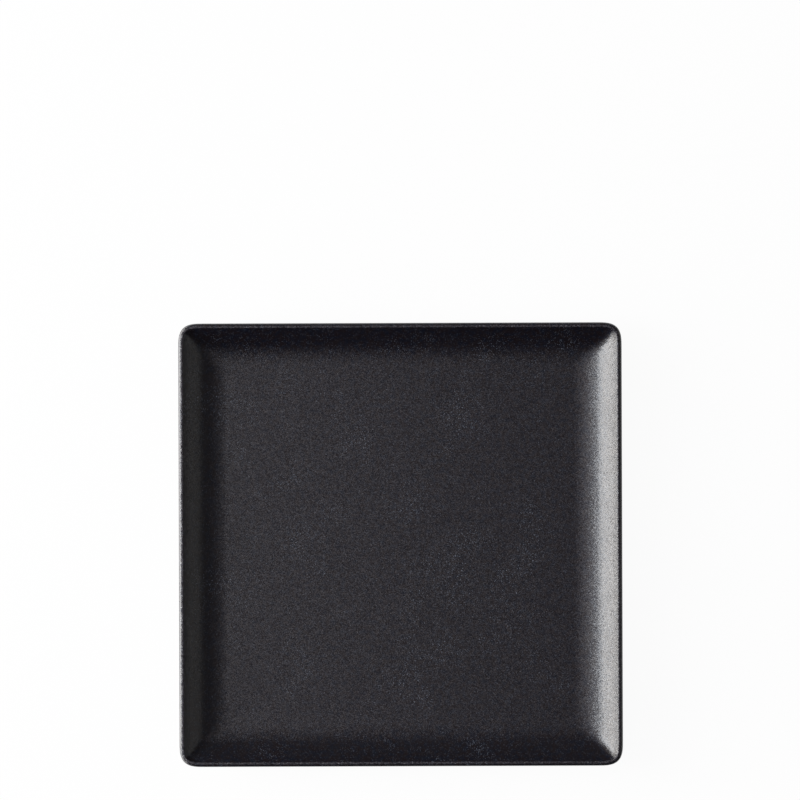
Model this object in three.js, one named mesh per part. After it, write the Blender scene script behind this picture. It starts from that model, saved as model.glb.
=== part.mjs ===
// A square plate of pressed stoneware, in millimetres, +Z up, with its origin in the middle of the plane it stands on.
// The clay body is one pressing with a low square foot under it. A satin black glaze covers its face, lip and outside
// down to a line on the foot, a second pool of glaze lines the hollow inside the foot, and the foot itself stays bare.
// Every surface is a section, drawn from the well over the lip and under, carried round a square with round corners.
import * as THREE from "three";

// Overall sizes, measured over the glaze
const PLATE_SIDE = 220;
const CORNER_RADIUS = 8;
const WELL_DEPTH = 10.4;
const GLAZE_THICKNESS = 0.4;

// Clay section of the well, from the lip inward, with angles in degrees from level
const LIP_OUTER_RADIUS = 1.45;
const LIP_INNER_RADIUS = 0.5;
const WALL_TOP_ANGLE = 46;
const WALL_RUN = 8.3;
const COVE_RUN = 13.3;
const COVE_ANGLE = 27;
const CREASE_RADIUS = 4;

// Clay section of the outside, from the edge down to the foot
const WALL_THICKNESS = 3.4;
const RIM_RADIUS = 1.2;
const FLANK_RADIUS = 12;
const FLOOR_THICKNESS = 4.2;
const FOOT_HEIGHT = 3;
const FOOT_INSET = 25;
const FOOT_WIDTH = 5;
const FOOT_DRAFT = 0.5;
const FOOT_CORNER_RADIUS = 13;
const FOOT_FILLET_RADIUS = 1;
const FOOT_EDGE_RADIUS = 0.4;
const BARE_FOOT_HEIGHT = 1;

// Steps of the faceted curves, and the share of a side that one fillet may take
const CORNER_STEPS = 6;
const COVE_STEPS = 6;
const WALL_STEPS = 4;
const LIP_INNER_STEPS = 2;
const LIP_OUTER_STEPS = 4;
const FILLET_STEPS = 3;
const FILLET_SHARE = 0.48;

// Finishes
const SATIN_BLACK_GLAZE = { color: 0x333236, roughness: 0.42, metalness: 0 };
const BARE_STONEWARE = { color: 0x8a7f72, roughness: 0.85, metalness: 0 };

// Levels and insets that follow from the sizes above. An inset is measured from the clay's outermost edge.
const CLAY_HALF = PLATE_SIDE / 2 - GLAZE_THICKNESS;
const CLAY_CORNER = CORNER_RADIUS - GLAZE_THICKNESS;
const FLOOR_LEVEL = FOOT_HEIGHT + FLOOR_THICKNESS;
const CROWN_LEVEL = FLOOR_LEVEL + WELL_DEPTH;
const EDGE_LEVEL = CROWN_LEVEL - LIP_OUTER_RADIUS;
const FOOT_INNER = FOOT_INSET + FOOT_WIDTH;
const GLAZE_LINE_SHIFT = FOOT_DRAFT * (BARE_FOOT_HEIGHT / FOOT_HEIGHT);
const WALL_TOP_TURN = THREE.MathUtils.degToRad(WALL_TOP_ANGLE);
const COVE_TURN = THREE.MathUtils.degToRad(COVE_ANGLE);
const COVE_RADIUS = COVE_RUN / Math.sin(COVE_TURN);
const QUARTER = Math.PI / 2;

// Where the lip's rounding meets the wall, and where the wall meets the cove in a crisp line
const wallTop = new THREE.Vector2(
  LIP_OUTER_RADIUS + LIP_INNER_RADIUS * Math.sin(WALL_TOP_TURN),
  CROWN_LEVEL - LIP_INNER_RADIUS * (1 - Math.cos(WALL_TOP_TURN)),
);
const wallFoot = new THREE.Vector2(
  wallTop.x + WALL_RUN,
  FLOOR_LEVEL + COVE_RADIUS * (1 - Math.cos(COVE_TURN)),
);

/** A circular arc in the section that starts at one angle and turns by another, in radians. */
function arc(inset, level, radius, from, turn) {
  return new THREE.EllipseCurve(inset, level, radius, radius, from, from + turn, turn < 0);
}

/** The well's clay section: the cove up from the floor, the hollow wall, then over the lip to its outer edge. */
function faceCurves() {
  const coveEnd = wallFoot.x + COVE_RUN;
  const wallMiddle = new THREE.Vector2(
    wallTop.x + WALL_RUN / 2,
    wallTop.y - (WALL_RUN / 2) * Math.tan(WALL_TOP_TURN),
  );
  const innerLevel = CROWN_LEVEL - LIP_INNER_RADIUS;
  return [
    [arc(coveEnd, FLOOR_LEVEL + COVE_RADIUS, COVE_RADIUS, -QUARTER, -COVE_TURN), COVE_STEPS],
    [new THREE.QuadraticBezierCurve(wallFoot, wallMiddle, wallTop), WALL_STEPS],
    [arc(LIP_OUTER_RADIUS, innerLevel, LIP_INNER_RADIUS, QUARTER - WALL_TOP_TURN, WALL_TOP_TURN), LIP_INNER_STEPS],
    [arc(LIP_OUTER_RADIUS, EDGE_LEVEL, LIP_OUTER_RADIUS, QUARTER, QUARTER), LIP_OUTER_STEPS],
  ];
}

/** The clay section under the edge: a flank parallel to the wall, a level underside and the foot's outer side. */
function outsideCurves() {
  const down = wallFoot.clone().sub(wallTop).normalize();
  const slope = down.y / down.x;
  const onFlank = new THREE.Vector2(down.y, -down.x).multiplyScalar(WALL_THICKNESS).add(wallFoot);
  const rimLevel = onFlank.y - slope * onFlank.x;
  const flankEnd = (FOOT_HEIGHT - rimLevel) / slope;
  return roundedLine([
    [0, EDGE_LEVEL],
    [0, rimLevel, RIM_RADIUS],
    [flankEnd, FOOT_HEIGHT, FLANK_RADIUS],
    [FOOT_INSET - FOOT_DRAFT, FOOT_HEIGHT, FOOT_FILLET_RADIUS],
    [FOOT_INSET - GLAZE_LINE_SHIFT, BARE_FOOT_HEIGHT],
  ]);
}

/** The bare clay section of the foot, from its outer glaze line to its inner one. */
function footCurves() {
  return roundedLine([
    [FOOT_INSET - GLAZE_LINE_SHIFT, BARE_FOOT_HEIGHT],
    [FOOT_INSET, 0, FOOT_EDGE_RADIUS],
    [FOOT_INNER, 0, FOOT_EDGE_RADIUS],
    [FOOT_INNER + GLAZE_LINE_SHIFT, BARE_FOOT_HEIGHT],
  ]);
}

/** The clay section of the hollow inside the foot, from the inner glaze line to the middle of its ceiling. */
function hollowCurves() {
  return roundedLine([
    [FOOT_INNER + GLAZE_LINE_SHIFT, BARE_FOOT_HEIGHT],
    [FOOT_INNER + FOOT_DRAFT, FOOT_HEIGHT, FOOT_FILLET_RADIUS],
    [CLAY_HALF, FOOT_HEIGHT],
  ]);
}

/** Straight lines between corners, each given as an inset, a level and, between the ends, a fillet radius. */
function roundedLine(corners) {
  const points = corners.map(([inset, level]) => new THREE.Vector2(inset, level));
  const curves = [];
  let start = points[0];
  for (let i = 1; i < corners.length - 1; i++) {
    const round = fillet(points[i - 1], points[i], points[i + 1], corners[i][2]);
    curves.push([new THREE.LineCurve(start, round.getPoint(0)), 1], [round, FILLET_STEPS]);
    start = round.getPoint(1);
  }
  curves.push([new THREE.LineCurve(start, points.at(-1)), 1]);
  return curves;
}

/** The arc that rounds a corner between two sides, no larger than the sides allow. */
function fillet(before, corner, after, radius) {
  const back = before.clone().sub(corner);
  const ahead = after.clone().sub(corner);
  const half = back.angleTo(ahead) / 2;
  const room = FILLET_SHARE * Math.min(back.length(), ahead.length());
  const reach = Math.min(radius / Math.tan(half), room);
  back.normalize();
  ahead.normalize();
  const middle = back.clone().add(ahead).normalize();
  const centre = corner.clone().addScaledVector(middle, reach / Math.cos(half));
  const start = corner.clone().addScaledVector(back, reach).sub(centre);
  const turn = Math.sign(ahead.cross(back)) * (Math.PI - 2 * half);
  return arc(centre.x, centre.y, start.length(), start.angle(), turn);
}

/** Stations along curves joined end to end: a point, its outward normal and the plate's corner radius there. */
function stations(curves, cornerAt) {
  const list = [];
  curves.forEach(([curve, steps], nth) => {
    for (let step = 0; step <= steps; step++) {
      const along = curve.getTangent(step / steps);
      const normal = new THREE.Vector2(along.y, -along.x);
      if (step === 0 && nth > 0) {
        list.at(-1).normal.add(normal).normalize();
      } else {
        const point = curve.getPoint(step / steps);
        list.push({ point, normal, corner: cornerAt(point.x) });
      }
    }
  });
  return list;
}

/** Corner radius of the well at an inset: concentric with the lip, then the crease where two walls meet. */
const wellCorner = (inset) => Math.max(CLAY_CORNER - inset, CREASE_RADIUS);

/** Corner radius of the outside at an inset, which opens steadily from the edge to the foot. */
const outsideCorner = (inset) => THREE.MathUtils.lerp(CLAY_CORNER, FOOT_CORNER_RADIUS, inset / FOOT_INSET);

/** Corner radius of the foot and its hollow at an inset, concentric with the foot's outer edge. */
const footCorner = (inset) => Math.max(FOOT_CORNER_RADIUS + FOOT_INSET - inset, CREASE_RADIUS);

/** The outline of the clay at a station, or of the glaze over it: a square with an arc at each corner. */
function outline({ point, normal, corner }, cover) {
  const inset = point.x + normal.x * cover;
  const level = point.y + normal.y * cover;
  const radius = corner - normal.x * cover;
  const middle = CLAY_HALF - inset - radius;
  const arcPoints = Array.from({ length: CORNER_STEPS + 1 }, (_, step) => {
    const angle = (QUARTER * step) / CORNER_STEPS;
    return new THREE.Vector3(middle + radius * Math.cos(angle), middle + radius * Math.sin(angle), level);
  });
  const upward = new THREE.Vector3(0, 0, 1);
  return [0, 1, 2, 3].flatMap((side) =>
    arcPoints.map((onArc) => onArc.clone().applyAxisAngle(upward, side * QUARTER)),
  );
}

/** A closed skin over outlines in order, from one that is closed on top to one that is closed below. */
function skin(outlines) {
  const count = outlines[0].length;
  const points = outlines.flat();
  const last = points.length - count;
  const top = points.length;
  const bottom = top + 1;
  points.push(new THREE.Vector3(0, 0, points[0].z), new THREE.Vector3(0, 0, points[last].z));
  const faces = [];
  for (let i = 0; i < count; i++) {
    const next = (i + 1) % count;
    faces.push(top, i, next);
    for (let ring = 0; ring < last; ring += count) {
      const below = ring + count;
      faces.push(ring + i, below + i, below + next);
      faces.push(ring + i, below + next, ring + next);
    }
    faces.push(bottom, last + next, last + i);
  }
  const geometry = new THREE.BufferGeometry().setFromPoints(points);
  geometry.setIndex(faces);
  geometry.computeVertexNormals();
  return geometry;
}

/** One named piece of the plate. */
function piece(name, outlines, finish) {
  const mesh = new THREE.Mesh(skin(outlines), new THREE.MeshStandardMaterial(finish));
  mesh.name = name;
  return mesh;
}

const face = stations(faceCurves(), wellCorner);
const outside = stations(outsideCurves(), outsideCorner).slice(1);
const foot = stations(footCurves(), footCorner).slice(1, -1);
const hollow = stations(hollowCurves(), footCorner).slice(0, -1);

const clay = (section) => section.map((station) => outline(station, 0));
const glaze = (section) => section.map((station) => outline(station, GLAZE_THICKNESS));
const upper = [...face, ...outside];

const plate = new THREE.Group();
plate.add(
  piece("stoneware_body", clay([...upper, ...foot, ...hollow]), BARE_STONEWARE),
  piece("glaze_coat", [...glaze(upper), ...clay(upper.toReversed())], SATIN_BLACK_GLAZE),
  piece("base_glaze", [...clay(hollow.toReversed()), ...glaze(hollow)], SATIN_BLACK_GLAZE),
);

export default plate;
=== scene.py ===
# %% [markdown]
# A square plate in satin black stoneware
#
# The plate is one pressing of clay. A dark glaze covers its face, lip and outside down to a line on the
# foot, and a second pool of glaze lines the hollow under the floor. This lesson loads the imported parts, sets
# the camera, draws one section of the plate, carries it round a square with soft corners, then paints and
# lights the result.

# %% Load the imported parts
from math import pi, radians

import bpy
import numpy as np
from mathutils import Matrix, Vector


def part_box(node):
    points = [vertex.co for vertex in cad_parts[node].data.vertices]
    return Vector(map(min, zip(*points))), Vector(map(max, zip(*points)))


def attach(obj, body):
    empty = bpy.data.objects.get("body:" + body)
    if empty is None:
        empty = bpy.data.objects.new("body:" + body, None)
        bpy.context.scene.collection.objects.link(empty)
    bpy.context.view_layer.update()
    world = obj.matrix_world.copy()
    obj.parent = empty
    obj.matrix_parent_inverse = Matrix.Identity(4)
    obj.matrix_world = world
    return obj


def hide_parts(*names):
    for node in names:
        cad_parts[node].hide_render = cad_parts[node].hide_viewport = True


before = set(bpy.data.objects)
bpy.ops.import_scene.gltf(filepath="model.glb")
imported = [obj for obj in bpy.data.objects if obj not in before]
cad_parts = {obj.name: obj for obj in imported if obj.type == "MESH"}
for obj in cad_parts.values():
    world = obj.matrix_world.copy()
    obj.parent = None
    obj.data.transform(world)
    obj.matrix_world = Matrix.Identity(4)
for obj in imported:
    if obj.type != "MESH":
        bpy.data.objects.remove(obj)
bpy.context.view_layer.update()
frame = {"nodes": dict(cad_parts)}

MM = 0.001
print("parts:", ", ".join(frame["nodes"]))

# %% [markdown]
# Sizes
#
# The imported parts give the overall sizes: the coat of glaze is the outermost thing, the clay lies one glaze
# thickness inside it, and both are centred on the origin. The rest of the section can't be read from boxes,
# so its sizes are named where they are needed, as a maker would give them to the mould shop.

# %% Sizes of the plate
CLAY_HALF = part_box("stoneware_body")[1][0]
CROWN_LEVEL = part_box("stoneware_body")[1][2]
PLATE_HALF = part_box("glaze_coat")[1][0]
GLAZE = PLATE_HALF - CLAY_HALF
FOOT_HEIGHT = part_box("base_glaze")[1][2]
FLOOR_THICKNESS = 4.2 * MM
FLOOR_LEVEL = FOOT_HEIGHT + FLOOR_THICKNESS
LIP_OUTER_RADIUS = 1.45 * MM
EDGE_LEVEL = CROWN_LEVEL - LIP_OUTER_RADIUS
print(f"plate {2 * PLATE_HALF / MM:.1f} mm square, {(CROWN_LEVEL + GLAZE) / MM:.1f} mm high")

# %% [markdown]
# Camera
#
# The photograph looks straight down on the plate, which sits low in the frame and is turned by a fifth of a
# degree. A short lens would show one wall more than the other, or would need a shifted frame. A long lens a
# couple of metres up keeps the four walls alike and needs no shift. The plate's side in pixels gives the
# camera's height, and its middle in pixels gives the place over which the camera hangs.

# %% Camera over the plate
LENS = 200
SENSOR = 36
FRAME_PIXELS = 800
PLATE_PIXELS = 443.4
PLATE_MIDDLE_PIXELS = (400.1, 544.6)
PLATE_TURN = radians(0.2)

pixel = 2 * PLATE_HALF / PLATE_PIXELS
camera_height = EDGE_LEVEL + pixel * FRAME_PIXELS * LENS / SENSOR
offset = (np.array(PLATE_MIDDLE_PIXELS) - FRAME_PIXELS / 2) * pixel
camera_data = bpy.data.cameras.new("camera")
camera_data.lens = LENS
camera_data.sensor_width = SENSOR
camera = bpy.data.objects.new("camera", camera_data)
camera.location = (-offset[0], offset[1], camera_height)
camera.rotation_euler = (0, 0, -PLATE_TURN)
bpy.context.collection.objects.link(camera)
bpy.context.scene.camera = camera
print(f"camera {camera_height:.3f} m up, {pixel / MM:.4f} mm to a pixel")

# %% [markdown]
# Curves of the section
#
# Cut the plate through the middle of a side and the cut shows one line: along the floor, up the cove, up the
# wall, over the lip, down the outside and round the foot. A spline could follow it, but arcs, straight runs
# and parabolas hold the sizes that a maker would check with a gauge. A point of the section is an inset from
# the clay's outermost edge and a level above the table.

# %% Arcs, straight runs and bows
def between(first, second, share):
    """Point a share of the way from first to second."""
    return (1 - share) * np.asarray(first) + share * np.asarray(second)


def arc(inset, level, radius, start, turn, steps):
    """Points of a circle's arc: centre plus radius times (cos, sin) of even steps from start through turn."""
    angle = start + turn * np.linspace(0, 1, steps + 1)
    return np.column_stack([inset + radius * np.cos(angle), level + radius * np.sin(angle)])


def straight(start, end, steps):
    """Points that divide the line from start to end into even steps."""
    return between(start, end, np.linspace(0, 1, steps + 1)[:, None])


def bow(start, pull, end, steps):
    """Points of the parabola (1 - t) squared start plus 2 t (1 - t) pull plus t squared end."""
    t = np.linspace(0, 1, steps + 1)[:, None]
    return (1 - t) ** 2 * np.asarray(start) + 2 * t * (1 - t) * np.asarray(pull) + t**2 * np.asarray(end)


def chain(*curves):
    """Curves joined end to end, with the point that two neighbours share kept once."""
    return np.vstack([curves[0]] + [curve[1:] for curve in curves[1:]])


print("curves: arc, straight run, bow and chain")

# %% [markdown]
# Face and lip
#
# The face is what the photograph shows. A flat floor turns up into a shallow cove, and the cove meets a wall
# that grows steeper towards the lip, which is two arcs. On the real plate the line between cove and wall is
# a change of light, not a cut, because pressing and glaze ease it, so a short bow joins the two there. A
# bevel could ease a cut line too, but the bow keeps the exact slope of both neighbours.

# %% Face from floor to edge
LIP_INNER_RADIUS = 0.5 * MM
WALL_TOP_ANGLE = radians(46)
WALL_RUN = 8.3 * MM
COVE_RUN = 13.3 * MM
COVE_ANGLE = radians(27)
COVE_RADIUS = COVE_RUN / np.sin(COVE_ANGLE)
EASE_RUN = 1.5 * MM
COVE_STEPS, EASE_STEPS, WALL_STEPS = 28, 10, 18
LIP_INNER_STEPS, LIP_OUTER_STEPS = 8, 12
FLOOR_RINGS = 30

wall_top = np.array([
    LIP_OUTER_RADIUS + LIP_INNER_RADIUS * np.sin(WALL_TOP_ANGLE),
    CROWN_LEVEL - LIP_INNER_RADIUS * (1 - np.cos(WALL_TOP_ANGLE)),
])
wall_foot = np.array([wall_top[0] + WALL_RUN, FLOOR_LEVEL + COVE_RADIUS * (1 - np.cos(COVE_ANGLE))])
wall_pull = wall_top + WALL_RUN / 2 * np.array([1, -np.tan(WALL_TOP_ANGLE)])


def crossing(first, first_way, second, second_way):
    """Where two lines cross: first plus s first_way equals second plus u second_way."""
    s, _ = np.linalg.solve(np.column_stack([first_way, -second_way]), second - first)
    return first + s * first_way


def face_section():
    """Floor edge to outer edge: cove arc, easing bow, the wall's parabola, two arcs over the lip.

    The parabola runs from wall_foot to wall_top under wall_pull. It is cut a share of the way along, where
    the easing bow ends: low_pull and high_pull lie that share along its two legs, and the cut lies that
    share of the way between them.
    """
    turn = np.arcsin((COVE_RUN - EASE_RUN) / COVE_RADIUS)
    cove_inset = wall_foot[0] + COVE_RUN
    cove = arc(cove_inset, FLOOR_LEVEL + COVE_RADIUS, COVE_RADIUS, -pi / 2, -turn, COVE_STEPS)
    share = EASE_RUN / WALL_RUN
    low_pull = between(wall_foot, wall_pull, share)
    high_pull = between(wall_pull, wall_top, share)
    cut = between(low_pull, high_pull, share)
    ease_pull = crossing(cove[-1], np.array([-np.cos(turn), np.sin(turn)]), cut, high_pull - low_pull)
    lip_level = CROWN_LEVEL - LIP_INNER_RADIUS
    lip_start = pi / 2 - WALL_TOP_ANGLE
    return chain(
        cove, bow(cove[-1], ease_pull, cut, EASE_STEPS), bow(cut, high_pull, wall_top, WALL_STEPS),
        arc(LIP_OUTER_RADIUS, lip_level, LIP_INNER_RADIUS, lip_start, WALL_TOP_ANGLE, LIP_INNER_STEPS),
        arc(LIP_OUTER_RADIUS, EDGE_LEVEL, LIP_OUTER_RADIUS, pi / 2, pi / 2, LIP_OUTER_STEPS),
    )


def level_rings(edge_inset, level, rings):
    """Insets that cross a level face from its edge almost to the middle, in even steps of half side."""
    half = (CLAY_HALF - edge_inset) * np.linspace(1, 0, rings + 1)[1:-1]
    return np.column_stack([CLAY_HALF - half, np.full(rings - 1, level)])


face = face_section()
floor = level_rings(face[0, 0], FLOOR_LEVEL, FLOOR_RINGS)[::-1]
print(f"face of {len(face)} stations, floor of {len(floor)}, cove radius {COVE_RADIUS / MM:.1f} mm")

# %% [markdown]
# Outside
#
# The flank runs parallel to the wall, which is how a pressing keeps an even thickness and dries without
# cracking, then turns under to a level base that ends at the foot. It is a line of corners, each rounded by
# its own arc, as a turner would cut it. The photograph doesn't show it, so its sizes are what plates of this
# kind have.

# %% Outside from edge to glaze line
WALL_THICKNESS = 3.4 * MM
RIM_RADIUS = 1.2 * MM
FLANK_RADIUS = 12 * MM
FOOT_INSET = 25 * MM
FOOT_DRAFT = 0.5 * MM
FOOT_FILLET_RADIUS = 1 * MM
BARE_FOOT_HEIGHT = 1 * MM
BARE_DRAFT = FOOT_DRAFT * BARE_FOOT_HEIGHT / FOOT_HEIGHT
EDGE_DROP_STEPS, RIM_STEPS, FLANK_STEPS = 3, 8, 12
HEEL_STEPS, BASE_STEPS, FILLET_STEPS = 14, 8, 8
SIDE_STEPS = 8


def rounded(before, corner, after, radius, steps):
    """Arc that rounds a corner: it touches both sides at radius over tan of half the corner's angle."""
    back = np.subtract(before, corner) / np.linalg.norm(np.subtract(before, corner))
    ahead = np.subtract(after, corner) / np.linalg.norm(np.subtract(after, corner))
    half = np.arccos(back @ ahead) / 2
    centre = corner + (back + ahead) / np.linalg.norm(back + ahead) * radius / np.sin(half)
    spoke = corner + back * radius / np.tan(half) - centre
    side = np.sign(back[1] * ahead[0] - back[0] * ahead[1])
    return arc(*centre, radius, np.arctan2(spoke[1], spoke[0]), side * (pi - 2 * half), steps)


def outside_section():
    """Outer edge to glaze line: corners, each rounded by its own arc, with straight runs between them."""
    fall = (wall_foot[1] - wall_top[1]) / WALL_RUN
    down = np.array([1, fall]) / np.hypot(1, fall)
    on_flank = wall_foot + WALL_THICKNESS * np.array([down[1], -down[0]])
    edge = np.array([0, EDGE_LEVEL])
    rim = np.array([0, on_flank[1] - fall * on_flank[0]])
    heel = np.array([(FOOT_HEIGHT - rim[1]) / fall, FOOT_HEIGHT])
    root = np.array([FOOT_INSET - FOOT_DRAFT, FOOT_HEIGHT])
    line = np.array([FOOT_INSET - BARE_DRAFT, BARE_FOOT_HEIGHT])
    rim_arc = rounded(edge, rim, heel, RIM_RADIUS, RIM_STEPS)
    heel_arc = rounded(rim, heel, root, FLANK_RADIUS, HEEL_STEPS)
    root_arc = rounded(heel, root, line, FOOT_FILLET_RADIUS, FILLET_STEPS)
    print(f"wall {np.degrees(np.arctan(-fall)):.1f} degrees from level")
    return chain(
        straight(edge, rim_arc[0], EDGE_DROP_STEPS), rim_arc,
        straight(rim_arc[-1], heel_arc[0], FLANK_STEPS), heel_arc,
        straight(heel_arc[-1], root_arc[0], BASE_STEPS), root_arc,
        straight(root_arc[-1], line, SIDE_STEPS),
    )


outside = outside_section()
print(f"outside of {len(outside)} stations")

# %% [markdown]
# Foot and hollow
#
# The plate stands on a low square ring, so that only the ring has to be ground flat. The ring is wiped clean
# of glaze before firing, and its two edges are eased so that it doesn't scratch a table. Inside it lies the
# hollow, whose ceiling is level.

# %% Foot and hollow
FOOT_WIDTH = 5 * MM
FOOT_EDGE_RADIUS = 0.4 * MM
FOOT_INNER = FOOT_INSET + FOOT_WIDTH
BARE_SIDE_STEPS, FOOT_EDGE_STEPS, FOOT_FACE_STEPS = 3, 6, 6
CEILING_RINGS = 20


def foot_section():
    """Outer to inner glaze line round the bare foot: two rounded edges with the standing face between."""
    outer = np.array([FOOT_INSET, 0])
    inner = np.array([FOOT_INNER, 0])
    outer_line = outer + [-BARE_DRAFT, BARE_FOOT_HEIGHT]
    inner_line = inner + [BARE_DRAFT, BARE_FOOT_HEIGHT]
    outer_arc = rounded(outer_line, outer, inner, FOOT_EDGE_RADIUS, FOOT_EDGE_STEPS)
    inner_arc = rounded(outer, inner, inner_line, FOOT_EDGE_RADIUS, FOOT_EDGE_STEPS)
    return chain(
        straight(outer_line, outer_arc[0], BARE_SIDE_STEPS), outer_arc,
        straight(outer_arc[-1], inner_arc[0], FOOT_FACE_STEPS), inner_arc,
        straight(inner_arc[-1], inner_line, BARE_SIDE_STEPS),
    )


def hollow_section():
    """Inner glaze line to the edge of the hollow's ceiling, round one fillet."""
    line = np.array([FOOT_INNER + BARE_DRAFT, BARE_FOOT_HEIGHT])
    root = np.array([FOOT_INNER + FOOT_DRAFT, FOOT_HEIGHT])
    root_arc = rounded(line, root, [CLAY_HALF, FOOT_HEIGHT], FOOT_FILLET_RADIUS, FILLET_STEPS)
    return chain(straight(line, root_arc[0], SIDE_STEPS), root_arc)


foot = foot_section()
hollow = hollow_section()
ceiling = level_rings(hollow[-1, 0], FOOT_HEIGHT, CEILING_RINGS)
print(f"foot of {len(foot)} stations, hollow of {len(hollow)}, ceiling of {len(ceiling)}")

# %% [markdown]
# Corners
#
# The corners of this plate aren't arcs: they leave the sides slowly and turn most in the middle, as on a
# bathroom tile. Such a corner has two sizes, the reach along each side and the gap that it cuts off in the
# middle, measured square to a side. Two walls that meet in a pressed well leave a narrow crease, so both
# sizes shrink with the inset until they come down to the crease. Outside, the corners open towards the round
# corners of the foot. One outline scaled down would be simpler, but its walls would lean less at the corners.

# %% Reach and gap of every station
CORNER_REACH = 12.4 * MM
CORNER_GAP = 2.38 * MM
CREASE_REACH = 6.2 * MM
CREASE_GAP = 1.17 * MM
FOOT_CORNER_RADIUS = 13 * MM
ROUND_GAP = 1 - np.sqrt(0.5)


def crease_room(inset):
    """1 while the half side is at least twice the crease's reach, then falls with it to 0 in the middle."""
    return np.minimum(1, (CLAY_HALF - inset) / CREASE_REACH / 2)


def well_corner(inset):
    """Parallel to the lip down to the crease: the inset comes off the reach, ROUND_GAP of it off the gap."""
    reach = np.maximum(CORNER_REACH - GLAZE - inset, CREASE_REACH * crease_room(inset))
    gap = np.maximum(CORNER_GAP - ROUND_GAP * (GLAZE + inset), CREASE_GAP * crease_room(inset))
    return np.column_stack([reach, gap])


def foot_corner(inset):
    """An arc round the same centre as the foot's outer corner, no smaller than the crease's reach."""
    radius = np.maximum(FOOT_CORNER_RADIUS + FOOT_INSET - inset, CREASE_REACH * crease_room(inset))
    return np.column_stack([radius, ROUND_GAP * radius])


def outside_corner(inset):
    """Straight change with the inset from the corner of the edge to the corner of the foot."""
    return between(well_corner(np.zeros(1)), foot_corner(np.full(1, FOOT_INSET)), inset[:, None] / FOOT_INSET)


well = np.vstack([floor, face])
upper = np.vstack([well, outside[1:]])
upper_corner = np.vstack([well_corner(well[:, 0]), outside_corner(outside[1:, 0])])
under = np.vstack([hollow, ceiling])
under_corner = foot_corner(under[:, 0])
print(f"corner reach {upper_corner[:, 0].max() / MM:.1f} mm to {upper_corner[:, 0].min() / MM:.2f} mm")

# %% [markdown]
# Thickness of the glaze
#
# The glaze is the clay's section pushed out along its own normal. A modifier that thickens a mesh would do
# that too, but it would end the glaze in a square step. Fired glaze draws back from the wiped foot into a
# round bead, so its thickness falls to nothing at the glaze line along a quarter of an ellipse.

# %% Glaze that ends in a bead
BEAD_LENGTH = 0.7 * MM


def walked(section):
    """Distance along a section from its first point."""
    return np.concatenate([[0], np.cumsum(np.linalg.norm(np.diff(section, axis=0), axis=1))])


def directions(section):
    """Unit direction of a section at every station, from the points on either side."""
    step = np.gradient(section, walked(section), axis=0)
    return step / np.linalg.norm(step, axis=1, keepdims=True)


def bead(distance):
    """GLAZE times the root of 1 - (1 - s) squared, where s is the distance from the line in bead lengths."""
    share = np.clip(distance / BEAD_LENGTH, 0, 1)
    return GLAZE * np.sqrt(1 - (1 - share) ** 2)


upper_cover = bead(walked(upper)[-1] - walked(upper))
under_cover = bead(walked(under))
print(f"cover {upper_cover.max() / MM:.2f} mm, bead {BEAD_LENGTH / MM:.1f} mm long")

# %% [markdown]
# Round the plate
#
# A section becomes a solid by carrying it round a square with soft corners. Every station is an outline with
# the same number of points, so the outlines stack into one grid: stations one way, the way round the plate
# the other. The foot is wiped by hand before firing, so the glaze line isn't quite straight: near it, the
# stations wander up and down the side of the foot.

# %% Outlines of a section
ARC_STEPS = 18
EDGE_STEPS = 40
LINE_WANDER = 0.16 * MM
WANDER_WAVES = ((9, 0.5, 0.3), (23, 0.3, 1.7), (41, 0.2, 4.1))


def four_turns(x, y):
    """A quarter of an outline and its copies after one, two and three right angles."""
    return np.stack([np.hstack([x, -y, -x, y]), np.hstack([y, x, -y, -x])], axis=-1)


def wander(points):
    """Height of the glaze line round the plate: LINE_WANDER times a sum of sines, each in whole waves."""
    around = 2 * pi * np.arange(points) / points
    return LINE_WANDER * sum(share * np.sin(waves * around + start) for waves, share, start in WANDER_WAVES)


def carried(section, corner, cover=0, near_line=0):
    """Outlines of a section pushed out by cover, as an array of stations by points by 3.

    With half side h, reach r and gap g, a corner is (h - r) + r (cos t, sin t) to the power 2 / n, where n
    makes the middle of the curve lie g inside both sides. The side then runs from (h - r, h) to (r - h, h).
    Stations move along the section by near_line times the wander.
    """
    along = directions(section)
    push = np.column_stack([along[:, 1], -along[:, 0]]) * np.broadcast_to(cover, len(section))[:, None]
    half = (CLAY_HALF - section[:, 0] - push[:, 0])[:, None]
    reach = (corner[:, 0] - push[:, 0])[:, None]
    gap = (corner[:, 1] - ROUND_GAP * push[:, 0])[:, None]
    power = -2 * np.log2(1 - gap / reach)
    t = np.linspace(0, pi / 2, ARC_STEPS + 1)
    share = np.linspace(1, -1, EDGE_STEPS + 1)[1:-1]
    flat = four_turns(
        np.hstack([half - reach + reach * np.cos(t).clip(0) ** power, (half - reach) * share]),
        np.hstack([half - reach + reach * np.sin(t).clip(0) ** power, half + 0 * share]),
    )
    facing = four_turns(np.hstack([np.cos(t), 0 * share]), np.hstack([np.sin(t), 1 + 0 * share]))
    move = np.broadcast_to(near_line, len(section))[:, None] * wander(flat.shape[1])
    level = (section[:, 1] + push[:, 1])[:, None] + along[:, 1:] * move
    return np.concatenate([flat - facing * (along[:, :1] * move)[..., None], level[..., None]], axis=-1)


rise = np.linspace(0, 1, SIDE_STEPS + 1)
upper_wander = np.concatenate([np.zeros(len(upper) - len(rise)), rise])
under_wander = np.concatenate([rise[::-1], np.zeros(len(under) - len(rise))])
print(f"outline of {4 * (ARC_STEPS + EDGE_STEPS)} points, glaze line wanders {LINE_WANDER / MM:.2f} mm")

# %% [markdown]
# Skins
#
# Outlines become a mesh with four-sided faces between neighbours and a fan to a middle point at each end. A
# mesh that closes on itself and points outwards has a positive volume, so the volume is a good test of the
# result.

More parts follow.
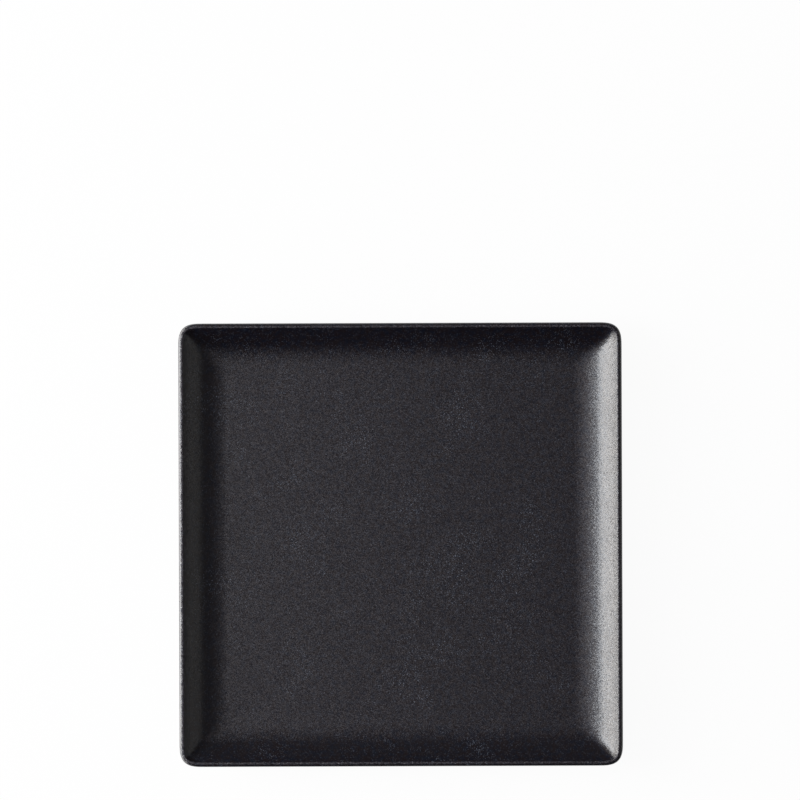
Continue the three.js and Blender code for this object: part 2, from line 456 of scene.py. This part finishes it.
# %% Outlines to a closed mesh
def volume(mesh):
    """Sum over the triangles of a . (b x c) / 6, in cubic metres."""
    mesh.calc_loop_triangles()
    place = np.empty(3 * len(mesh.vertices))
    mesh.vertices.foreach_get("co", place)
    corners = np.empty(3 * len(mesh.loop_triangles), dtype=int)
    mesh.loop_triangles.foreach_get("vertices", corners)
    a, b, c = place.reshape(-1, 3)[corners.reshape(-1, 3).T]
    return np.einsum("ij,ij->", a, np.cross(b, c)) / 6


def skin(name, rings, material):
    """Object over outlines: point k of ring i joins point k of ring i + 1 and point k + 1 of both."""
    count, points = rings.shape[:2]
    number = np.arange(count * points).reshape(count, points)
    following = np.roll(number, -1, axis=1)
    sides = np.stack([number[:-1], number[1:], following[1:], following[:-1]], axis=-1).reshape(-1, 4)
    first, last = count * points, count * points + 1
    top = np.column_stack([np.full(points, first), number[0], following[0]])
    bottom = np.column_stack([np.full(points, last), following[-1], number[-1]])
    places = np.vstack([rings.reshape(-1, 3), rings[[0, -1]].mean(axis=1)])
    mesh = bpy.data.meshes.new(name)
    mesh.from_pydata(places.tolist(), [], sides.tolist() + top.tolist() + bottom.tolist())
    mesh.polygons.foreach_set("use_smooth", np.ones(len(mesh.polygons), dtype=bool))
    mesh.materials.append(material)
    piece = bpy.data.objects.new(name, mesh)
    bpy.context.collection.objects.link(piece)
    print(f"{name}: {len(mesh.polygons)} faces, {volume(mesh) / MM**3 / 1000:.1f} cubic cm")
    return piece


print("skin and volume ready")

# %% [markdown]
# Nodes
#
# A procedural finish is a tree of nodes, and writing each node, socket and link on a line of its own hides
# the idea. One helper makes a node and fills its sockets: a plain value is set on the socket, and an output
# is linked to it. Short helpers over it name what a finish is made of.

# %% Helpers for nodes
def new_material(name):
    """Material with nodes, its tree and its main shader."""
    material = bpy.data.materials.new(name)
    material.use_nodes = True
    return material, material.node_tree, material.node_tree.nodes["Principled BSDF"]


def fill(tree, node, sockets):
    """Sets or links a node's sockets, given as names or numbers with their values."""
    for name, value in sockets.items():
        if isinstance(value, bpy.types.NodeSocket):
            tree.links.new(value, node.inputs[name])
        else:
            node.inputs[name].default_value = value
    return node


def add(tree, kind, sockets, **settings):
    """New node of a kind with its settings and sockets."""
    node = tree.nodes.new(kind)
    for name, value in settings.items():
        setattr(node, name, value)
    return fill(tree, node, sockets)


def maths(tree, operation, first, second):
    """First and second value under a plain operation, such as MULTIPLY."""
    return add(tree, "ShaderNodeMath", {0: first, 1: second}, operation=operation).outputs[0]


def vectors(tree, operation, sockets):
    """Vectors under an operation, such as ADD."""
    return add(tree, "ShaderNodeVectorMath", sockets, operation=operation).outputs[0]


print("node helpers ready")

# %% [markdown]
# Patterns
#
# Every pattern of this plate is noise in the plate's own space, at its real size in millimetres. A picture
# stretched over the plate would repeat and blur, and would need the plate unwrapped first.

# %% Helpers for patterns
NOISE_LOW = 0.3
NOISE_HIGH = 0.7


def cells(tree, place, size, detail=2.0):
    """Noise whose lattice has cells of one size, read at a place, mostly from NOISE_LOW to NOISE_HIGH."""
    sockets = {"Vector": place, "Scale": 1 / size, "Detail": detail}
    return add(tree, "ShaderNodeTexNoise", sockets).outputs["Fac"]


def ramp(tree, value, start, end, low=0.0, high=1.0):
    """Straight change from low at start to high at end, level outside them."""
    sockets = {"Value": value, "From Min": start, "From Max": end, "To Min": low, "To Max": high}
    return add(tree, "ShaderNodeMapRange", sockets).outputs["Result"]


def blend_colours(tree, share, first, second):
    """First colour where share is 0, second where it is 1."""
    sockets = {"Fac": share, "Color1": first, "Color2": second}
    return add(tree, "ShaderNodeMixRGB", sockets).outputs["Color"]


def bumps(tree, height, depth):
    """Normal tilted by a height from 0 to 1 that stands for a real depth."""
    return add(tree, "ShaderNodeBump", {"Height": height, "Distance": depth}).outputs["Normal"]


print(f"noise lies mostly from {NOISE_LOW} to {NOISE_HIGH}")

# %% [markdown]
# Facets
#
# Seen close, the satin grain of this glaze is a crust of tiny facets that each lean their own way, so that
# single points glint. Smooth noise in a Bump node gives streaks in place of points, because the eye follows
# its slopes. A Voronoi texture gives each facet one random colour instead, and that colour leans the normal.

# %% Helpers for facets
def facets(tree, place, size):
    """Random colour of the facet at a place: the space nearest to one of scattered points, a size apart."""
    return add(tree, "ShaderNodeTexVoronoi", {"Vector": place, "Scale": 1 / size}).outputs["Color"]


def leaning(tree, normal, chance, strength):
    """Normal plus strength times (chance - a half) along each axis, made unit again."""
    lean = vectors(tree, "SUBTRACT", {0: chance, 1: (0.5, 0.5, 0.5)})
    scaled = vectors(tree, "SCALE", {0: lean, "Scale": strength})
    return vectors(tree, "NORMALIZE", {0: vectors(tree, "ADD", {0: normal, 1: scaled})})


print("facet helpers ready")

# %% [markdown]
# Satin black glaze
#
# The glaze is black with a soft sheen. Its facets grow calmer up the wall, where the glaze runs thinner, and
# stronger over the lip. The crown of the lip is mauve grey in flecks, partly the glaze breaking there and
# partly a painted highlight, the band of light that the crown catches from the lamps overhead. The black
# wavers between plum and indigo, and a few facets are blue crystal specks that gather in clusters, painted
# brighter than the specks alone, so that they are painted glints as well. A slow ripple keeps the floor from
# looking machined. A coat of gloss over a matt black could give the sheen too, but real satin glaze is one
# rough surface.

# %% Glaze finish
PLUM_BLACK = (0.0058, 0.0030, 0.0046, 1)
INDIGO_BLACK = (0.0020, 0.0034, 0.0098, 1)
# Mauve grey of the crown: partly the glaze's own break, partly a painted highlight.
CROWN_GREY_AND_HIGHLIGHT = (0.0340, 0.0295, 0.0370, 1)
# Blue grey of the crystal specks, bright enough to be painted glints too.
CRYSTAL_BLUE_AND_GLINT = (0.142, 0.160, 0.200, 1)
FACET_CELL = 0.28 * MM
FACET_LEAN = 0.315
WALL_CALM, RIM_CALM = 0.80, 0.45
WALL_MIDDLE = 13 * MM
LIP_GRAIN = 2.0
LIP_DEPTH = 0.65 * MM
BREAK_AND_HIGHLIGHT_DEPTH = 0.16 * MM
FLECK_CELL = 0.7 * MM
FLECK_LOW, FLECK_HIGH, FLECK_LEAST = 0.40, 0.60, 0.20
CRYSTAL_AND_GLINT_CHANCE = 0.92
CLUSTER_CELL = 20 * MM
CLUSTER_LOW, CLUSTER_HIGH, CLUSTER_LEAST = 0.52, 0.70, 0.33
HUE_CELL = 2.5 * MM
HUE_LOW, HUE_HIGH = 0.38, 0.72
RIPPLE_CELL = 9 * MM
RIPPLE_DEPTH = 0.055 * MM
GLAZE_SMOOTHEST, GLAZE_ROUGHEST = 0.28, 0.32
GLAZE_INDEX = 1.555

black_glaze, tree, shader = new_material("satin_black_glaze")
place = add(tree, "ShaderNodeTexCoord", {}).outputs["Object"]
height = add(tree, "ShaderNodeSeparateXYZ", {"Vector": place}).outputs["Z"]
facet = facets(tree, place, FACET_CELL)

crown = CROWN_LEVEL + GLAZE
flecks = ramp(tree, cells(tree, place, FLECK_CELL), FLECK_LOW, FLECK_HIGH, FLECK_LEAST, 1.0)
# Painted highlight and glaze break: the top of the crown turns mauve grey in flecks.
crown_break_and_highlight = maths(tree, "MULTIPLY", ramp(tree, height, crown - BREAK_AND_HIGHLIGHT_DEPTH, crown), flecks)
hue = ramp(tree, cells(tree, place, HUE_CELL), HUE_LOW, HUE_HIGH)
blacks = blend_colours(tree, hue, PLUM_BLACK, INDIGO_BLACK)
cluster = ramp(tree, cells(tree, place, CLUSTER_CELL), CLUSTER_LOW, CLUSTER_HIGH, CLUSTER_LEAST, 1.0)
chance = add(tree, "ShaderNodeSeparateXYZ", {"Vector": facet}).outputs["Z"]
# Crystal specks and painted glints: a few facets, gathered in clusters, turn bright blue grey.
crystals_and_glints = maths(tree, "MULTIPLY", ramp(tree, chance, CRYSTAL_AND_GLINT_CHANCE, 1.0), cluster)

cove_calm = ramp(tree, height, FLOOR_LEVEL + GLAZE, wall_foot[1], 1.0, WALL_CALM)
calm = maths(tree, "MULTIPLY", cove_calm, ramp(tree, height, WALL_MIDDLE, CROWN_LEVEL, 1.0, RIM_CALM))
grain = maths(tree, "MAXIMUM", calm, ramp(tree, height, crown - LIP_DEPTH, crown, 0.0, LIP_GRAIN))
ripple = bumps(tree, cells(tree, place, RIPPLE_CELL, detail=1.0), RIPPLE_DEPTH)
sheen = ramp(tree, cells(tree, place, RIPPLE_CELL), NOISE_LOW, NOISE_HIGH, GLAZE_SMOOTHEST, GLAZE_ROUGHEST)
fill(tree, shader, {
    "Base Color": blend_colours(tree, crystals_and_glints, blend_colours(tree, crown_break_and_highlight, blacks, CROWN_GREY_AND_HIGHLIGHT), CRYSTAL_BLUE_AND_GLINT),
    "Roughness": sheen,
    "IOR": GLAZE_INDEX,
    "Normal": leaning(tree, ripple, facet, maths(tree, "MULTIPLY", grain, FACET_LEAN)),
})
print(f"glaze of {len(tree.nodes)} nodes, facets {FACET_CELL / MM} mm")

# %% [markdown]
# Bare stoneware
#
# The foot is wiped, so it shows the clay: a warm grey brown, matt, with sand in it and a scatter of iron
# specks that the kiln has melted. Three sizes of noise make it, coarse for clouds, fine for specks and finest
# for sand, and the sand also roughens it.

# %% Clay finish
CLAY_LIGHT = (0.29, 0.24, 0.19, 1)
CLAY_DARK = (0.20, 0.165, 0.13, 1)
IRON_BROWN = (0.05, 0.028, 0.016, 1)
SAND_CELL = 0.35 * MM
SAND_DEPTH = 0.12 * MM
SAND_LOW, SAND_HIGH, SAND_SHARE = 0.35, 0.65, 0.60
CLOUD_CELL = 7 * MM
SPECK_CELL = 0.9 * MM
SPECK_LOW, SPECK_HIGH = 0.68, 0.74
CLAY_SMOOTHEST, CLAY_ROUGHEST = 0.78, 0.92

stoneware, tree, shader = new_material("bare_stoneware")
place = add(tree, "ShaderNodeTexCoord", {}).outputs["Object"]
sand = cells(tree, place, SAND_CELL)
clouds = ramp(tree, cells(tree, place, CLOUD_CELL, detail=4.0), NOISE_LOW, NOISE_HIGH)
clouded = blend_colours(tree, clouds, CLAY_DARK, CLAY_LIGHT)
sandiness = ramp(tree, sand, SAND_LOW, SAND_HIGH, 0.0, SAND_SHARE)
sandy = blend_colours(tree, sandiness, clouded, CLAY_LIGHT)
specks = ramp(tree, cells(tree, place, SPECK_CELL, detail=0.0), SPECK_LOW, SPECK_HIGH)
fill(tree, shader, {
    "Base Color": blend_colours(tree, specks, sandy, IRON_BROWN),
    "Roughness": ramp(tree, sand, NOISE_LOW, NOISE_HIGH, CLAY_SMOOTHEST, CLAY_ROUGHEST),
    "Normal": bumps(tree, sand, SAND_DEPTH),
})
print(f"clay of {len(tree.nodes)} nodes, sand {SAND_CELL / MM} mm")

# %% [markdown]
# Coat of glaze
#
# The coat runs from the middle of the floor over the lip and down to the glaze line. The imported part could
# keep its own mesh, but its corners are plain arcs and its glaze ends in a step. Here the outer skin is the
# clay's section pushed out by the cover, and the inner skin is the clay's own section, so that the two meet
# without a gap.

# %% Coat over the face and outside
coat_out = carried(upper, upper_corner, upper_cover, upper_wander)
coat_in = carried(upper, upper_corner, 0, upper_wander)
coat = skin("glaze_skin", np.concatenate([coat_out, coat_in[-2::-1]]), black_glaze)
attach(coat, "root")
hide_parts("glaze_coat")

# %% [markdown]
# Pool of glaze
#
# The hollow under the floor is glazed too, up to the inner side of the foot, where the wiping stops it. It is
# made as the coat is, with the skins the other way up, so that both have the same bead at their line.

# %% Pool in the hollow
pool_in = carried(under, under_corner, 0, under_wander)
pool_out = carried(under, under_corner, under_cover, under_wander)
pool = skin("glaze_pool", np.concatenate([pool_in[::-1], pool_out[1:]]), black_glaze)
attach(pool, "root")
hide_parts("base_glaze")

# %% [markdown]
# Clay pressing
#
# The clay is one closed body: the upper section, the foot and the hollow in one line. Only the foot shows,
# but the whole body is made, because whoever takes the plate apart should find it under the glaze.

# %% Pressing with its foot
body = np.vstack([upper, foot[1:-1], under])
body_corner = np.vstack([upper_corner, foot_corner(foot[1:-1, 0]), under_corner])
pressing = skin("clay_pressing", carried(body, body_corner), stoneware)
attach(pressing, "root")
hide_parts("stoneware_body")

# %% [markdown]
# White ground
#
# The plate stands on white paper. Paper that is bright enough to look white would need light that washes out
# the glaze, so the camera and the reflections see it almost as a plain white glow, with a small share of its
# real shading, which keeps the plate's shadow.

# %% Paper under the plate
GROUND_HALF = 6.0
PAPER_WHITE = (0.86, 0.86, 0.86, 1)
PAPER_ROUGHNESS = 0.9
GLOW_SHARE = 0.95


def card(name, low, high, level):
    """Level rectangle from its low to its high corner, which isn't part of the plate."""
    (left, front), (right, back) = low, high
    corners = [(left, front, level), (right, front, level), (right, back, level), (left, back, level)]
    mesh = bpy.data.meshes.new(name)
    mesh.from_pydata(corners, [], [(0, 1, 2, 3)])
    flat = bpy.data.objects.new(name, mesh)
    bpy.context.collection.objects.link(flat)
    return flat


ground = card("ground", (-GROUND_HALF, -GROUND_HALF), (GROUND_HALF, GROUND_HALF), 0.0)
paper, tree, shader = new_material("white_paper")
fill(tree, shader, {"Base Color": PAPER_WHITE, "Roughness": PAPER_ROUGHNESS})
rays = add(tree, "ShaderNodeLightPath", {}).outputs
mirrored = maths(tree, "ADD", rays["Is Glossy Ray"], rays["Is Transmission Ray"])
seen = maths(tree, "ADD", rays["Is Camera Ray"], mirrored)
share = ramp(tree, seen, 0.0, 1.0, 0.0, GLOW_SHARE)
glow = add(tree, "ShaderNodeEmission", {"Strength": 1.0})
paper_shader = add(tree, "ShaderNodeMixShader", {0: share, 1: shader.outputs[0], 2: glow.outputs[0]})
fill(tree, tree.nodes["Material Output"], {"Surface": paper_shader.outputs[0]})
ground.data.materials.append(paper)
print(f"ground {2 * GROUND_HALF:.0f} m square")

# %% [markdown]
# Black flag
#
# The outside of the near lip mirrors the paper in front of it and would fade into the white. In a studio a
# black card, called a flag, lies there just out of the picture and keeps the edge dark. Only mirrored rays
# meet this one: it gives no shade, and the camera doesn't see it. A darker lip would show from every side.

# %% Flag in front
FLAG_BLACK = (0.01, 0.01, 0.01, 1)
FLAG_HALF = 0.5
FLAG_NEAR, FLAG_FAR = -0.125, -0.62
FLAG_LEVEL = 3 * MM

flag = card("flag", (-FLAG_HALF, FLAG_FAR), (FLAG_HALF, FLAG_NEAR), FLAG_LEVEL)
flag.visible_camera = flag.visible_diffuse = flag.visible_shadow = False
felt, tree, shader = new_material("black_felt")
fill(tree, shader, {"Base Color": FLAG_BLACK, "Roughness": PAPER_ROUGHNESS})
flag.data.materials.append(felt)
print(f"flag {2 * FLAG_HALF:.1f} m wide, {(FLAG_NEAR - FLAG_FAR) / MM:.0f} mm deep")

# %% [markdown]
# Lamps
#
# Black glaze shows little but its lamps. A strong softbox stands low on the left and lights the right wall,
# weaker ones beside it reach into the corners, and a tall one above it fades into the cove. A panel on the
# paper at the left brightens the left edge, cards on the right and behind lift the other walls, and three
# panels overhead give the floor its grey, brightest on the left. Slight tints keep the glaze from looking
# dead. A lamp is written by its radiance, which is what a reflection shows: its power is pi times its area
# times that.

# %% Softboxes
RIGHT, LEFT, FRONT, DOWN, UP = (1, 0, 0), (-1, 0, 0), (0, -1, 0), (0, 0, -1), (0, 0, 1)
WHITE, WARM, COOL, MAUVE = (1, 1, 1), (1, 0.975, 0.945), (0.96, 1, 1.05), (1, 0.96, 1.01)


def softbox(name, middle, size, radiance, facing, colour):
    """Flat rectangular lamp that looks along facing and is hidden from the camera."""
    lamp = bpy.data.lights.new(name, "AREA")
    lamp.shape = "RECTANGLE"
    lamp.size, lamp.size_y = size
    lamp.energy = pi * size[0] * size[1] * radiance
    lamp.color = colour
    stand = bpy.data.objects.new(name, lamp)
    stand.location = middle
    stand.rotation_euler = Vector(facing).to_track_quat("-Z", "Y").to_euler()
    stand.visible_camera = False
    bpy.context.collection.objects.link(stand)
    print(f"{name}: {lamp.energy:.1f} W")


softbox("low_left", (-2.4, 0, 0.52), (1.2, 0.64), 16.5, RIGHT, WARM)
softbox("left_flank_front", (-2.4, -1.3, 0.6), (1.4, 0.8), 7, RIGHT, WARM)
softbox("left_flank_back", (-2.5, 1.67, 0.89), (2.08, 1.35), 7, RIGHT, WARM)
softbox("tall_left", (-2.4, 0.2, 1.72), (1.2, 1.76), 11, RIGHT, COOL)
softbox("left_bounce", (-0.66, 0, 0.004), (1.04, 0.6), 9, UP, WARM)
softbox("right_card", (0.75, 0, 0.22), (0.8, 0.18), 0.95, LEFT, WARM)
softbox("right_panel", (0.75, 0, 0.6), (0.8, 0.4), 0.2, LEFT, WHITE)
softbox("back_card", (0, 0.9, 0.6), (1.0, 1.0), 0.09, FRONT, WHITE)
softbox("overhead_left", (-0.525, -0.01, 1.1), (0.55, 1.14), 1.52, DOWN, MAUVE)
softbox("overhead", (-0.025, -0.01, 1.1), (0.45, 1.14), 0.335, DOWN, MAUVE)
softbox("overhead_right", (0.425, -0.01, 1.1), (0.45, 1.14), 0.09, DOWN, MAUVE)

# %% [markdown]
# Room
#
# The room round the lamps is nearly dark, because a white room would veil the black glaze. Only the camera
# sees it white, so that a low view has the same plain ground behind the plate.

# %% Dim room
ROOM_LIGHT = 0.05

room = bpy.data.worlds.new("room")
bpy.context.scene.world = room
room.use_nodes = True
tree = room.node_tree
rays = add(tree, "ShaderNodeLightPath", {}).outputs
fill(tree, tree.nodes["Background"], {
    "Color": (1, 1, 1, 1),
    "Strength": ramp(tree, rays["Is Camera Ray"], 0.0, 1.0, ROOM_LIGHT, 1.0),
})
bpy.context.scene.view_settings.view_transform = "Standard"
print(f"room light {ROOM_LIGHT}")
